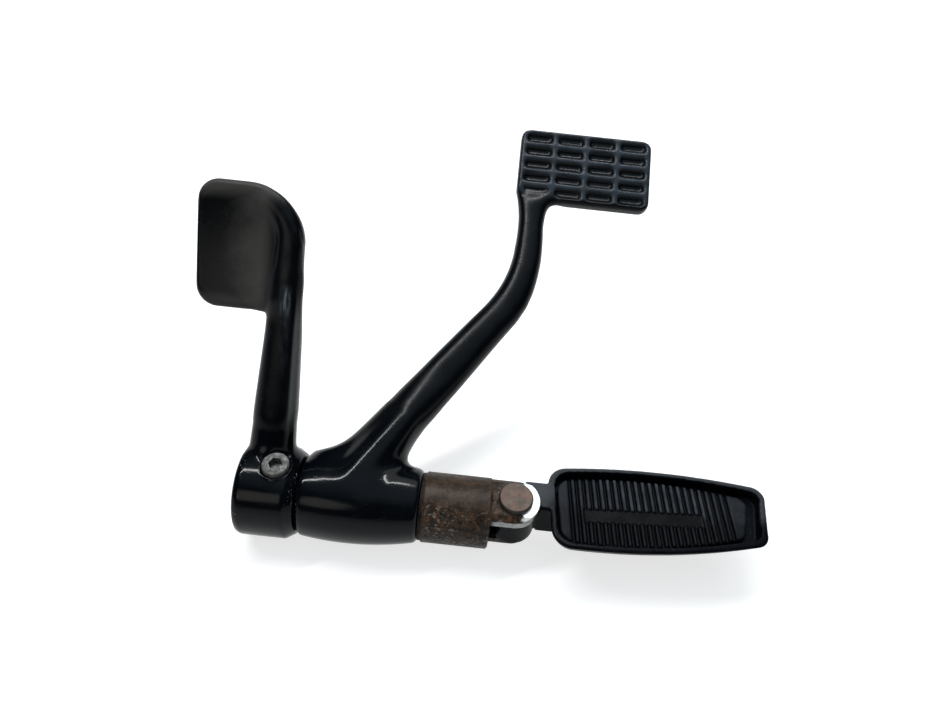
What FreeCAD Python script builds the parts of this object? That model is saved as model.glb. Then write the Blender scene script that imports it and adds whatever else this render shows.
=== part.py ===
import FreeCAD, Part
import math
import os

# Folding footrest with a two-lever foot pedal on its support shaft, right-hand side of a motorcycle.
# Millimetres. X runs outboard along the shaft, Y points forward, Z points up along the folding pin.
# The origin is on the shaft's axis, in its inboard end face.

V = FreeCAD.Vector
ORIGIN = V(0, 0, 0)
X_AXIS = V(1, 0, 0)
Z_AXIS = V(0, 0, 1)
OVERCUT = 2.0

# Fits
RUNNING_CLEARANCE = 0.05
SEAT_CLEARANCE = 0.05
SIDE_CLEARANCE = 0.3
AXIAL_PLAY = 0.15
HUB_FACE_GAP = 0.5

# Support shaft, turned from bar
JOURNAL_RADIUS = 10.0
JOURNAL_LENGTH = 90.7
BARREL_RADIUS = 17.4
BARREL_LENGTH = 33.3
BARREL_EDGE = 0.8
BOLT_HOLE_RADIUS = 5.1
BOLT_HOLE_DEPTH = 30.0
RING_GROOVE_X = 1.6
RING_GROOVE_DEPTH = 0.8

# Clevis milled on the outboard end
PIN_OFFSET = 11.5
EAR_HALF_WIDTH = 11.8
UPPER_EAR_TOP = 14.9
UPPER_EAR_THICKNESS = 6.4
SLOT_HEIGHT = 17.8
LOWER_EAR_THICKNESS = 3.5
LOWER_EAR_HALF_WIDTH = 8.5

# Folding pin with its clip and spring washer
PIN_RADIUS = 4.75
PIN_HEAD_RADIUS = 8.3
PIN_HEAD_HEIGHT = 2.6
PIN_HEAD_BEVEL = 0.6
PIN_TAIL = 3.2
PIN_POINT_BEVEL = 0.8
CLIP_THICKNESS = 1.0
CLIP_OUTER_RADIUS = 7.4
CLIP_GROOVE_DEPTH = 0.9
SPRING_OUTER_RADIUS = 8.2
SPRING_THICKNESS = 0.8

# Washers and retaining ring on the journal
THRUST_WASHER_THICKNESS = 1.3
THRUST_WASHER_RADIUS = 16.6
RING_THICKNESS = 1.2
RING_OUTER_RADIUS = 12.4
RING_OPENING = 5.0
INBOARD_WASHER_THICKNESS = 1.2
INBOARD_WASHER_RADIUS = 14.6

# Bushes pressed into the pedal
BUSH_WALL = 2.0
BUSH_LENGTH = 18.0
INNER_BUSH_LENGTH = 8.0

# Toe pedal hub and the sleeve that carries the heel lever
SLEEVE_RADIUS = 15.5
TOE_HUB_NECK_RADIUS = 18.6
TOE_HUB_NECK_LENGTH = 0.6
TOE_HUB_SHOULDER = 1.0
TOE_HUB_INBOARD_RADIUS = 20.2
TOE_HUB_BELLY_RADIUS = 21.8
TOE_HUB_BELLY_SHARE = 0.45
TOE_HUB_OUTBOARD_RADIUS = 18.2
TOE_HUB_END_BEVEL = 1.4

# Toe pedal arm: straight leg, bend, straight leg up to the tread
TOE_ELEVATION = 30.0
TOE_HEADING = 53.9
TOE_ARM_ROOT_X = 65.7
TOE_ARM_ROOT_S = 30.0
TOE_ARM_TOP_X = 131.2
TOE_BEND_RADIUS = 68.0
TOE_ARM_ROOT_WIDTH = 24.8
TOE_ARM_TOP_WIDTH = 13.6
TOE_ARM_TAPER_POWER = 1.0
TOE_ARM_ROOT_HALF_THICKNESS = 8.8
TOE_ARM_TOP_HALF_THICKNESS = 5.4
TOE_ROOT_FILLET_INBOARD = 11.0
TOE_ROOT_FILLET_OUTBOARD = 14.0
TOE_PAD_FLARE = 4.2
TOE_PAD_FLARE_LENGTH = 17.0
HUB_BLEND_RADIUS = 8.0
EDGE_ROUNDING = 0.88

# Toe tread
TREAD_INBOARD_X = 121.3
TREAD_LENGTH = 73.2
TREAD_START_S = 169.3
TREAD_DEPTH = 42.3
TREAD_TOP = 5.2
TREAD_THICKNESS = 8.4
TREAD_CORNER = 5.0
TREAD_EDGE = 1.2
POCKET_COLUMNS = 4
POCKET_ROWS = 5
POCKET_LENGTH = 14.6
POCKET_WIDTH = 5.2
POCKET_DEPTH = 2.2
POCKET_DRAFT = 0.5
POCKET_PITCH_X = 17.4
POCKET_PITCH_S = 8.0

# Heel lever hub and its lock screw
HEEL_HUB_START = 0.8
HEEL_HUB_LENGTH = 29.2
HEEL_HUB_RADIUS = 22.6
HEEL_HUB_ROUND = 3.0
HEEL_HUB_BEVEL_LENGTH = 4.8
HEEL_HUB_BEVEL_DEPTH = 3.0
HEEL_BORE_CLEARANCE = 0.05
LOCK_SCREW_X = 19.4
LOCK_BOSS_RADIUS = 7.6
LOCK_BOSS_TOP = 22.3
LOCK_SEAT_RADIUS = 19.3
LOCK_COUNTERBORE_RADIUS = 7.0
SCREW_HEAD_RADIUS = 6.5
SCREW_HEAD_HEIGHT = 5.0
SCREW_HEAD_BEVEL = 0.5
SCREW_SOCKET_FLATS = 6.0
SCREW_SOCKET_DEPTH = 4.0
SCREW_SHANK_RADIUS = 3.9
SCREW_TIP_RADIUS = 12.4

# Heel lever arm and paddle
HEEL_ELEVATION = 55.0
HEEL_ARM_ROOT_X = 14.0
HEEL_ARM_ROOT_HALF_WIDTH = 11.0
HEEL_ARM_ROOT_HALF_THICKNESS = 8.8
HEEL_ARM_TOP_HALF_THICKNESS = 6.4
PADDLE_OUTBOARD_X = 24.6
PADDLE_WIDTH = 49.8
PADDLE_START_S = 90.2
PADDLE_HEIGHT = 58.8
PADDLE_HALF_THICKNESS = 3.3
PADDLE_SHOULDER_RADIUS = 27.0
PADDLE_CORNER_RADIUS = 10.0
PADDLE_EDGE = 1.5
DISH_DEPTH = 2.0
DISH_RADIUS = 26.0
DISH_CENTRE_X = -6.0
RIB_HALF_WIDTH = 6.2
RIB_HEIGHT = 6.2
RIB_END_HALF_WIDTH = 3.0
RIB_END_HEIGHT = 3.4
RIB_SWEEP = 80.0
GRIP_COLUMNS = 3
GRIP_ROWS = 5
GRIP_DEPTH = 1.5
GRIP_PITCH_X = 15.9

# Footpeg casting, measured from the pin along its own centre line
PEG_SWEEP = 3.6
PEG_ROOT = 17.0
PEG_TIP = 125.5
PEG_ROOT_HALF_WIDTH = 22.6
PEG_ROOT_CORNER = 10.0
PEG_BELLY_AT = 72.0
PEG_BELLY_HALF_WIDTH = 23.0
PEG_NOSE_AT = 119.5
PEG_NOSE_HALF_WIDTH = 17.2
PEG_TIP_HALF_WIDTH = 10.5
PEG_TIP_BULGE = 0.18
PEG_TIP_RAKE = 1.8
PEG_RIM_TOP = 12.0
PEG_RIM_BEVEL = 0.8
PEG_RIM_WIDTH = 3.2
PEG_KEEL_DEPTH = 11.5
PEG_KEEL_INSET = 13.0
PEG_TUCK_POWER = 1.25
PEG_RECESS_DEPTH = 6.5
PEG_FLOOR_THICKNESS = 4.2
PEG_CORE_START = 32.0
PEG_CORE_END = 88.0
PEG_CORE_HALF_WIDTH = 5.6
PEG_CORE_CORNER = 4.5
TONGUE_TOP_CLEARANCE = 0.3
SPRING_HEIGHT = 1.3
NECK_START = 5.0
NECK_NEAR_REACH = 1.5
NECK_FAR_REACH = 14.0
NECK_DEPTH = 10.5
NECK_CORNER = 1.2

# Peg rubber with cross ribs and a sunken smooth band, on a screwed backing plate
RUBBER_MOAT = 1.6
RUBBER_TIP_GAP = 4.5
RUBBER_RIB_TOP = 9.0
RUBBER_EDGE = 0.8
RIB_PITCH = 3.6
RIB_GROOVE_WIDTH = 2.4
RIB_GROOVE_DEPTH = 1.6
RIB_GROOVE_FLOOR = 1.0
RUBBER_END_LAND = 6.5
SMOOTH_BAND_LENGTH = 60.0
SMOOTH_BAND_HALF_WIDTH = 3.6
SMOOTH_BAND_CENTRE = 64.0
SMOOTH_BAND_OFFSET = -2.7
SMOOTH_BAND_DEPTH = 1.0
PLATE_THICKNESS = 1.4
PLATE_INSET = 1.2
PEG_SCREW_RADIUS = 2.5
PEG_SCREW_HEAD_RADIUS = 4.6
PEG_SCREW_HEAD_HEIGHT = 2.6
PEG_SCREW_SPACING = 40.0
PEG_SCREW_SLOT = 1.2

# Stations that follow from the driving sizes
BARREL_START = JOURNAL_LENGTH
BARREL_END = BARREL_START + BARREL_LENGTH
PIN_X = BARREL_END + PIN_OFFSET
SLOT_TOP = UPPER_EAR_TOP - UPPER_EAR_THICKNESS
SLOT_BOTTOM = SLOT_TOP - SLOT_HEIGHT
LOWER_EAR_BOTTOM = SLOT_BOTTOM - LOWER_EAR_THICKNESS
THRUST_WASHER_START = BARREL_START - THRUST_WASHER_THICKNESS
TOE_HUB_END = THRUST_WASHER_START - AXIAL_PLAY
INBOARD_WASHER_START = RING_GROOVE_X + RING_THICKNESS + SEAT_CLEARANCE
SLEEVE_START = INBOARD_WASHER_START + INBOARD_WASHER_THICKNESS + AXIAL_PLAY
HEEL_HUB_END = HEEL_HUB_START + HEEL_HUB_LENGTH
TOE_HUB_START = HEEL_HUB_END + HUB_FACE_GAP
BUSH_OUTER_RADIUS = JOURNAL_RADIUS + RUNNING_CLEARANCE + BUSH_WALL
TONGUE_RADIUS = PIN_OFFSET - SIDE_CLEARANCE
TONGUE_TOP = SLOT_TOP - TONGUE_TOP_CLEARANCE
TONGUE_BOTTOM = SLOT_BOTTOM + SPRING_HEIGHT + AXIAL_PLAY
NECK_SEAT_RADIUS = EAR_HALF_WIDTH + SIDE_CLEARANCE
RECESS_FLOOR = PEG_RIM_TOP - PEG_RECESS_DEPTH
CORE_ROOF = RECESS_FLOOR - PEG_FLOOR_THICKNESS
PLATE_TOP = RECESS_FLOOR + PLATE_THICKNESS
RUBBER_INSET = PEG_RIM_WIDTH + RUBBER_MOAT


def line(start, end):
    return Part.LineSegment(start, end).toShape()


def arc(start, middle, end):
    return Part.Arc(start, middle, end).toShape()


def cylinder_x(radius, start, end):
    return Part.makeCylinder(radius, end - start, V(start, 0, 0), X_AXIS)


def tube_x(outer, inner, start, end):
    return cylinder_x(outer, start, end).cut(cylinder_x(inner, start - OVERCUT, end + OVERCUT))


def cylinder_z(radius, bottom, top, x=0.0, y=0.0):
    return Part.makeCylinder(radius, top - bottom, V(x, y, bottom), Z_AXIS)


def solid_of_revolution(edges, axis):
    return Part.Face(Part.Wire(edges)).revolve(ORIGIN, axis, 360)


def prism(edges, height):
    return Part.Face(Part.Wire(edges)).extrude(V(0, 0, height))


def rounded_rectangle(x_min, x_max, y_min, y_max, corners, z):
    """Edges of a rectangle whose corners are rounded: radii for low-low, high-low, high-high, low-high."""
    edges = []
    places = [(x_min, y_min, 180), (x_max, y_min, 270), (x_max, y_max, 0), (x_min, y_max, 90)]
    ends = []
    for (x, y, first), radius in zip(places, corners):
        centre = V(x + radius if x == x_min else x - radius, y + radius if y == y_min else y - radius, z)
        points = []
        for turn in (0, 45, 90):
            angle = math.radians(first + turn)
            points.append(centre + V(math.cos(angle), math.sin(angle), 0) * radius)
        ends.append(points)
    for index, points in enumerate(ends):
        edges.append(arc(*points))
        edges.append(line(points[2], ends[(index + 1) % len(ends)][0]))
    return edges


def bar_section(x, s, heading, half_width, low, high):
    """A rounded rectangle square to a lever's centre line, which heads at an angle from X in the lever's plane."""
    across = V(math.sin(math.radians(heading)), -math.cos(math.radians(heading)), 0)
    middle = V(x, s, (low + high) / 2)
    half_height = (high - low) / 2
    radius = EDGE_ROUNDING * min(half_width, half_height)
    edges = []
    starts = []
    for side, up, first in ((1, 1, 0), (-1, 1, 90), (-1, -1, 180), (1, -1, 270)):
        centre = middle + across * (side * (half_width - radius)) + Z_AXIS * (up * (half_height - radius))
        points = []
        for turn in (0, 45, 90):
            angle = math.radians(first + turn)
            points.append(centre + across * (radius * math.cos(angle)) + Z_AXIS * (radius * math.sin(angle)))
        starts.append(points)
    for index, points in enumerate(starts):
        edges.append(arc(*points))
        edges.append(line(points[2], starts[(index + 1) % len(starts)][0]))
    return Part.Wire(edges)


def hub_blend(hub_radius, half_thickness, s):
    """Half thickness of an arm that runs into a round hub through a fillet, at distance s from the pivot."""
    centre_n = half_thickness + HUB_BLEND_RADIUS
    centre_s = math.sqrt((hub_radius + HUB_BLEND_RADIUS) ** 2 - centre_n ** 2)
    if s >= centre_s:
        return half_thickness
    touch_s = centre_s * hub_radius / (hub_radius + HUB_BLEND_RADIUS)
    below = centre_s - max(s, touch_s)
    return centre_n - math.sqrt(HUB_BLEND_RADIUS ** 2 - below ** 2)


def side_fillet(radius, rise):
    """Sideways reach of a quarter-round fillet at a height above the face that it stands on."""
    if rise >= radius:
        return 0.0
    drop = radius - max(rise, 0.0)
    return radius - math.sqrt(radius ** 2 - drop ** 2)


def hexagon_z(flats, bottom, top, x):
    corner = flats / math.sqrt(3)
    points = []
    for side in range(7):
        angle = math.radians(60 * side)
        points.append(V(x + corner * math.cos(angle), corner * math.sin(angle), bottom))
    return Part.Face(Part.makePolygon(points)).extrude(V(0, 0, top - bottom))


def pocket(x, s, floor, mouth):
    """One drafted pocket, wider at its mouth than at its floor."""
    low_inset = POCKET_DRAFT if floor < mouth else 0.0
    high_inset = POCKET_DRAFT - low_inset
    end_x = x + POCKET_LENGTH
    end_s = s + POCKET_WIDTH
    wedge = Part.makeWedge(x + low_inset, min(floor, mouth), low_inset - end_s, high_inset - end_s, x + high_inset,
                           end_x - low_inset, max(floor, mouth), -s - low_inset, -s - high_inset, end_x - high_inset)
    wedge.rotate(ORIGIN, X_AXIS, 90)
    return wedge


def pocket_grid(columns, rows, first_x, first_s, pitch_x, pitch_s, floor, mouth):
    """Pockets in rows and columns, as one cutter."""
    cutters = []
    for column in range(columns):
        for row in range(rows):
            cutters.append(pocket(first_x + column * pitch_x, first_s + row * pitch_s, floor, mouth))
    return Part.makeCompound(cutters)


def ear(half_width, bottom, top):
    """One clevis ear: straight from the barrel, with a round end about the pin."""
    start = BARREL_END - OVERCUT
    block = Part.makeBox(PIN_X - start, 2 * half_width, top - bottom, V(start, -half_width, bottom))
    return block.fuse(cylinder_z(half_width, bottom, top, PIN_X)).removeSplitter()


def make_shaft():
    barrel = cylinder_x(BARREL_RADIUS, BARREL_START, BARREL_END)
    barrel = barrel.makeChamfer(BARREL_EDGE, [e for e in barrel.Edges if isinstance(e.Curve, Part.Circle)])
    bar = cylinder_x(BARREL_RADIUS, BARREL_START, PIN_X + 2 * EAR_HALF_WIDTH)
    ears = ear(EAR_HALF_WIDTH, SLOT_TOP, UPPER_EAR_TOP)
    ears = ears.fuse(ear(LOWER_EAR_HALF_WIDTH, LOWER_EAR_BOTTOM, SLOT_BOTTOM)).common(bar)
    journal = cylinder_x(JOURNAL_RADIUS, 0, BARREL_START + OVERCUT)
    shaft = barrel.fuse([journal, ears])
    shaft = shaft.cut(cylinder_z(PIN_RADIUS + SEAT_CLEARANCE, -BARREL_RADIUS, BARREL_RADIUS, PIN_X))
    shaft = shaft.cut(cylinder_x(BOLT_HOLE_RADIUS, -OVERCUT, BOLT_HOLE_DEPTH))
    groove = tube_x(JOURNAL_RADIUS + OVERCUT, JOURNAL_RADIUS - RING_GROOVE_DEPTH,
                    RING_GROOVE_X, RING_GROOVE_X + RING_THICKNESS)
    return shaft.cut(groove).removeSplitter()


def make_hinge_pin():
    head = cylinder_z(PIN_HEAD_RADIUS, UPPER_EAR_TOP, UPPER_EAR_TOP + PIN_HEAD_HEIGHT, PIN_X)
    crown = [e for e in head.Edges if e.BoundBox.ZMin > UPPER_EAR_TOP + PIN_HEAD_HEIGHT / 2]
    head = head.makeChamfer(PIN_HEAD_BEVEL, crown)
    tail = LOWER_EAR_BOTTOM - PIN_TAIL
    shank = cylinder_z(PIN_RADIUS, tail, UPPER_EAR_TOP, PIN_X)
    point = [e for e in shank.Edges if e.BoundBox.ZMax < tail + PIN_POINT_BEVEL]
    shank = shank.makeChamfer(PIN_POINT_BEVEL, point)
    clip_top = LOWER_EAR_BOTTOM - SEAT_CLEARANCE
    groove = cylinder_z(PIN_RADIUS + OVERCUT, clip_top - CLIP_THICKNESS, clip_top, PIN_X)
    groove = groove.cut(cylinder_z(PIN_RADIUS - CLIP_GROOVE_DEPTH, clip_top - CLIP_THICKNESS, clip_top, PIN_X))
    return head.fuse(shank).cut(groove).removeSplitter()


def make_pin_clip():
    top = LOWER_EAR_BOTTOM - SEAT_CLEARANCE
    inner = PIN_RADIUS - CLIP_GROOVE_DEPTH + SEAT_CLEARANCE
    clip = cylinder_z(CLIP_OUTER_RADIUS, top - CLIP_THICKNESS, top, PIN_X)
    clip = clip.cut(cylinder_z(inner, top - CLIP_THICKNESS, top, PIN_X))
    mouth = 1.8 * inner
    opening = Part.makeBox(CLIP_OUTER_RADIUS, mouth, CLIP_THICKNESS, V(PIN_X, -mouth / 2, top - CLIP_THICKNESS))
    return clip.cut(opening)


def make_spring_washer():
    """A cone of spring steel that takes up the play under the peg's tongue."""
    inner = PIN_RADIUS + 2 * SEAT_CLEARANCE
    low = SLOT_BOTTOM
    high = SLOT_BOTTOM + SPRING_HEIGHT
    outline = [V(inner, 0, high - SPRING_THICKNESS), V(inner, 0, high), V(SPRING_OUTER_RADIUS, 0, low + SPRING_THICKNESS),
               V(SPRING_OUTER_RADIUS, 0, low), V(inner, 0, high - SPRING_THICKNESS)]
    washer = Part.Face(Part.makePolygon(outline)).revolve(ORIGIN, Z_AXIS, 360)
    washer.translate(V(PIN_X, 0, 0))
    return washer


def make_thrust_washer():
    return tube_x(THRUST_WASHER_RADIUS, JOURNAL_RADIUS + RUNNING_CLEARANCE, THRUST_WASHER_START, BARREL_START)


def make_inboard_washer():
    end = INBOARD_WASHER_START + INBOARD_WASHER_THICKNESS
    return tube_x(INBOARD_WASHER_RADIUS, JOURNAL_RADIUS + RUNNING_CLEARANCE, INBOARD_WASHER_START, end)


def make_retaining_ring():
    inner = JOURNAL_RADIUS - RING_GROOVE_DEPTH + SEAT_CLEARANCE
    ring = tube_x(RING_OUTER_RADIUS, inner, RING_GROOVE_X, RING_GROOVE_X + RING_THICKNESS)
    opening = Part.makeBox(RING_THICKNESS, RING_OPENING, RING_OUTER_RADIUS, V(RING_GROOVE_X, -RING_OPENING / 2, 0))
    return ring.cut(opening)


def toe_arm_line(s):
    """Centre of the toe arm and its heading at distance s from the pivot."""
    slope = math.tan(math.radians(TOE_HEADING))
    meet_s = TOE_ARM_ROOT_S + (TOE_ARM_TOP_X - TOE_ARM_ROOT_X) * slope
    tangent = TOE_BEND_RADIUS * math.tan(math.radians((90 - TOE_HEADING) / 2))
    bend_end = meet_s + tangent
    bend_start = meet_s - tangent * math.sin(math.radians(TOE_HEADING))
    if s <= bend_start:
        return TOE_ARM_ROOT_X + (s - TOE_ARM_ROOT_S) / slope, TOE_HEADING
    if s >= bend_end:
        return TOE_ARM_TOP_X, 90.0
    rise = bend_end - s
    run = math.sqrt(TOE_BEND_RADIUS ** 2 - rise ** 2)
    return TOE_ARM_TOP_X - TOE_BEND_RADIUS + run, math.degrees(math.atan2(run, rise))


def toe_arm_section(s):
    top = TREAD_START_S
    left_over = min(max((top - s) / (top - TOE_ARM_ROOT_S), 0.0), 1.0)
    width = TOE_ARM_TOP_WIDTH + (TOE_ARM_ROOT_WIDTH - TOE_ARM_TOP_WIDTH) * left_over ** TOE_ARM_TAPER_POWER
    width += TOE_PAD_FLARE * max(0.0, 1 - (top - s) / TOE_PAD_FLARE_LENGTH) ** 2
    half = TOE_ARM_TOP_HALF_THICKNESS
    half += (TOE_ARM_ROOT_HALF_THICKNESS - TOE_ARM_TOP_HALF_THICKNESS) * left_over
    half = hub_blend(TOE_HUB_BELLY_RADIUS, half, s)
    x, heading = toe_arm_line(s)
    reach = width / 2 / math.sin(math.radians(heading))
    left = x - reach - side_fillet(TOE_ROOT_FILLET_INBOARD, s - TOE_HUB_BELLY_RADIUS)
    left = max(left, TOE_HUB_START + TOE_HUB_NECK_LENGTH + TOE_HUB_SHOULDER)
    right = x + reach + side_fillet(TOE_ROOT_FILLET_OUTBOARD, s - TOE_HUB_OUTBOARD_RADIUS)
    if s < TOE_ARM_ROOT_S:
        right = min(right, TOE_HUB_END - TOE_HUB_END_BEVEL)
    low = max(-half, TREAD_TOP - TREAD_THICKNESS) if s > top else -half
    high = min(half, TREAD_TOP - POCKET_DEPTH - OVERCUT) if s > top else half
    return bar_section((left + right) / 2, s, 90.0, (right - left) / 2, low, high)


def make_toe_tread():
    bottom = TREAD_TOP - TREAD_THICKNESS
    end_x = TREAD_INBOARD_X + TREAD_LENGTH
    end_s = TREAD_START_S + TREAD_DEPTH
    outline = rounded_rectangle(TREAD_INBOARD_X, end_x, TREAD_START_S, end_s, [TREAD_CORNER] * 4, bottom)
    tread = prism(outline, TREAD_THICKNESS)
    rims = [e for e in tread.Edges if e.BoundBox.ZLength < TREAD_THICKNESS / 2]
    tread = tread.makeChamfer(TREAD_EDGE, rims)
    grid_length = (POCKET_COLUMNS - 1) * POCKET_PITCH_X + POCKET_LENGTH
    grid_width = (POCKET_ROWS - 1) * POCKET_PITCH_S + POCKET_WIDTH
    first_x = TREAD_INBOARD_X + (TREAD_LENGTH - grid_length) / 2
    first_s = TREAD_START_S + (TREAD_DEPTH - grid_width) / 2
    pockets = pocket_grid(POCKET_COLUMNS, POCKET_ROWS, first_x, first_s, POCKET_PITCH_X, POCKET_PITCH_S,
                          TREAD_TOP - POCKET_DEPTH, TREAD_TOP)
    return tread, pockets


def make_toe_hub():
    start = TOE_HUB_START
    end = TOE_HUB_END
    shoulder = start + TOE_HUB_NECK_LENGTH
    barrel = shoulder + TOE_HUB_SHOULDER
    belly = barrel + TOE_HUB_BELLY_SHARE * (end - barrel)
    edge = TOE_HUB_END_BEVEL
    outer = TOE_HUB_OUTBOARD_RADIUS
    outline = [
        line(V(start, 0, 0), V(start, TOE_HUB_NECK_RADIUS, 0)),
        line(V(start, TOE_HUB_NECK_RADIUS, 0), V(shoulder, TOE_HUB_NECK_RADIUS, 0)),
        line(V(shoulder, TOE_HUB_NECK_RADIUS, 0), V(barrel, TOE_HUB_INBOARD_RADIUS, 0)),
        arc(V(barrel, TOE_HUB_INBOARD_RADIUS, 0), V(belly, TOE_HUB_BELLY_RADIUS, 0), V(end - edge, outer, 0)),
        line(V(end - edge, outer, 0), V(end, outer - edge, 0)),
        line(V(end, outer - edge, 0), V(end, 0, 0)),
        line(V(end, 0, 0), V(start, 0, 0)),
    ]
    return solid_of_revolution(outline, X_AXIS)


def make_toe_pedal():
    stations = [share * TOE_HUB_BELLY_RADIUS for share in (0.65, 0.82, 0.92, 1.0, 1.08, 1.2)]
    leg_end = TREAD_START_S - TOE_PAD_FLARE_LENGTH
    steps = 14
    stations += [TOE_ARM_ROOT_S + (leg_end - TOE_ARM_ROOT_S) * step / steps for step in range(steps + 1)]
    stations += [TREAD_START_S - TOE_PAD_FLARE_LENGTH * share for share in (0.66, 0.33, 0.0)]
    stations.append(TREAD_START_S + TREAD_CORNER)
    arm = Part.makeLoft([toe_arm_section(s) for s in stations], True, True)
    tread, pockets = make_toe_tread()
    sleeve = cylinder_x(SLEEVE_RADIUS, SLEEVE_START, TOE_HUB_START + OVERCUT)
    pedal = make_toe_hub().fuse([sleeve, arm, tread]).cut(pockets)
    pedal.rotate(ORIGIN, X_AXIS, TOE_ELEVATION)
    pedal = pedal.cut(cylinder_x(BUSH_OUTER_RADIUS, SLEEVE_START - OVERCUT, TOE_HUB_END + OVERCUT))
    screw_hole = cylinder_z(SCREW_SHANK_RADIUS + SEAT_CLEARANCE, 0, SLEEVE_RADIUS + OVERCUT, LOCK_SCREW_X)
    return pedal.cut(screw_hole).removeSplitter()


def make_outer_bush():
    return tube_x(BUSH_OUTER_RADIUS, JOURNAL_RADIUS + RUNNING_CLEARANCE, TOE_HUB_END - BUSH_LENGTH, TOE_HUB_END)


def make_inner_bush():
    return tube_x(BUSH_OUTER_RADIUS, JOURNAL_RADIUS + RUNNING_CLEARANCE,
                  SLEEVE_START, SLEEVE_START + INNER_BUSH_LENGTH)


def make_heel_hub():
    start = HEEL_HUB_START
    end = HEEL_HUB_END
    rounding = HEEL_HUB_ROUND
    bend = rounding * (1 - math.sqrt(0.5))
    radius = HEEL_HUB_RADIUS
    bevel = radius - HEEL_HUB_BEVEL_DEPTH
    outline = [
        line(V(start, 0, 0), V(start, radius - rounding, 0)),
        line(V(start, radius - rounding, 0), V(start + bend, radius - bend, 0)),
        line(V(start + bend, radius - bend, 0), V(start + rounding, radius, 0)),
        line(V(start + rounding, radius, 0), V(end - HEEL_HUB_BEVEL_LENGTH, radius, 0)),
        line(V(end - HEEL_HUB_BEVEL_LENGTH, radius, 0), V(end, bevel, 0)),
        line(V(end, bevel, 0), V(end, 0, 0)),
        line(V(end, 0, 0), V(start, 0, 0)),
    ]
    return solid_of_revolution(outline, X_AXIS)


def heel_arm_sections():
    """Sections from the hub up the straight arm, then round the paddle's shoulder as a dying rib."""
    sections = []
    arm_top = PADDLE_START_S - HEEL_HUB_RADIUS / 2
    shoulder_s = PADDLE_START_S + PADDLE_HEIGHT - PADDLE_SHOULDER_RADIUS
    shoulder_x = PADDLE_OUTBOARD_X - PADDLE_SHOULDER_RADIUS
    path_radius = PADDLE_SHOULDER_RADIUS - RIB_HALF_WIDTH
    rib_x = shoulder_x + path_radius
    root_s = HEEL_HUB_RADIUS
    stations = [share * root_s for share in (0.65, 0.82, 0.93, 1.0, 1.1)]
    stations += [root_s + (arm_top - root_s) * share for share in (0.2, 0.45, 0.7, 1.0)]
    for s in stations:
        share = max(0.0, (s - root_s) / (shoulder_s - root_s))
        half_width = HEEL_ARM_ROOT_HALF_WIDTH + (RIB_HALF_WIDTH - HEEL_ARM_ROOT_HALF_WIDTH) * share
        x = HEEL_ARM_ROOT_X + (rib_x - HEEL_ARM_ROOT_X) * share
        thin = max(0.0, (s - root_s) / (arm_top - root_s))
        half = HEEL_ARM_ROOT_HALF_THICKNESS
        half += (HEEL_ARM_TOP_HALF_THICKNESS - HEEL_ARM_ROOT_HALF_THICKNESS) * thin
        half = hub_blend(HEEL_HUB_RADIUS, half, s)
        sections.append(bar_section(x, s, 90.0, half_width, -half, half))
    for s in (PADDLE_START_S + HEEL_HUB_RADIUS / 3, (PADDLE_START_S + shoulder_s) / 2):
        share = (s - root_s) / (shoulder_s - root_s)
        half_width = HEEL_ARM_ROOT_HALF_WIDTH + (RIB_HALF_WIDTH - HEEL_ARM_ROOT_HALF_WIDTH) * share
        x = HEEL_ARM_ROOT_X + (rib_x - HEEL_ARM_ROOT_X) * share
        sections.append(bar_section(x, s, 90.0, half_width, PADDLE_EDGE - PADDLE_HALF_THICKNESS, RIB_HEIGHT))
    for share in (0.0, 0.2, 0.4, 0.6, 0.8, 1.0):
        turn = math.radians(RIB_SWEEP * share)
        half_width = RIB_HALF_WIDTH + (RIB_END_HALF_WIDTH - RIB_HALF_WIDTH) * share
        height = RIB_HEIGHT + (RIB_END_HEIGHT - RIB_HEIGHT) * share
        x = shoulder_x + path_radius * math.cos(turn)
        s = shoulder_s + path_radius * math.sin(turn)
        low = PADDLE_EDGE - PADDLE_HALF_THICKNESS
        sections.append(bar_section(x, s, 90.0 + RIB_SWEEP * share, half_width, low, height))
    return sections


def make_paddle():
    """A dished plate with its back towards the rider and a grip pattern on its working face."""
    left = PADDLE_OUTBOARD_X - PADDLE_WIDTH
    top = PADDLE_START_S + PADDLE_HEIGHT
    corners = [PADDLE_CORNER_RADIUS, PADDLE_CORNER_RADIUS, PADDLE_SHOULDER_RADIUS, PADDLE_CORNER_RADIUS]
    outline = rounded_rectangle(left, PADDLE_OUTBOARD_X, PADDLE_START_S, top, corners, -PADDLE_HALF_THICKNESS)
    plate = prism(outline, 2 * PADDLE_HALF_THICKNESS)
    rims = [e for e in plate.Edges if e.BoundBox.ZLength < PADDLE_HALF_THICKNESS]
    plate = plate.makeChamfer(PADDLE_EDGE, rims)
    sphere = (DISH_RADIUS ** 2 + DISH_DEPTH ** 2) / (2 * DISH_DEPTH)
    centre = V(DISH_CENTRE_X, PADDLE_START_S + PADDLE_HEIGHT / 2, PADDLE_HALF_THICKNESS - DISH_DEPTH + sphere)
    plate = plate.cut(Part.makeSphere(sphere, centre))
    grid_length = (GRIP_COLUMNS - 1) * GRIP_PITCH_X + POCKET_LENGTH
    grid_width = (GRIP_ROWS - 1) * POCKET_PITCH_S + POCKET_WIDTH
    first_x = left + (PADDLE_WIDTH - grid_length) / 2
    first_s = PADDLE_START_S + (PADDLE_HEIGHT - PADDLE_SHOULDER_RADIUS / 2 - grid_width) / 2
    grip = pocket_grid(GRIP_COLUMNS, GRIP_ROWS, first_x, first_s, GRIP_PITCH_X, POCKET_PITCH_S,
                       GRIP_DEPTH - PADDLE_HALF_THICKNESS, -PADDLE_HALF_THICKNESS)
    return plate, grip


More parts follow.
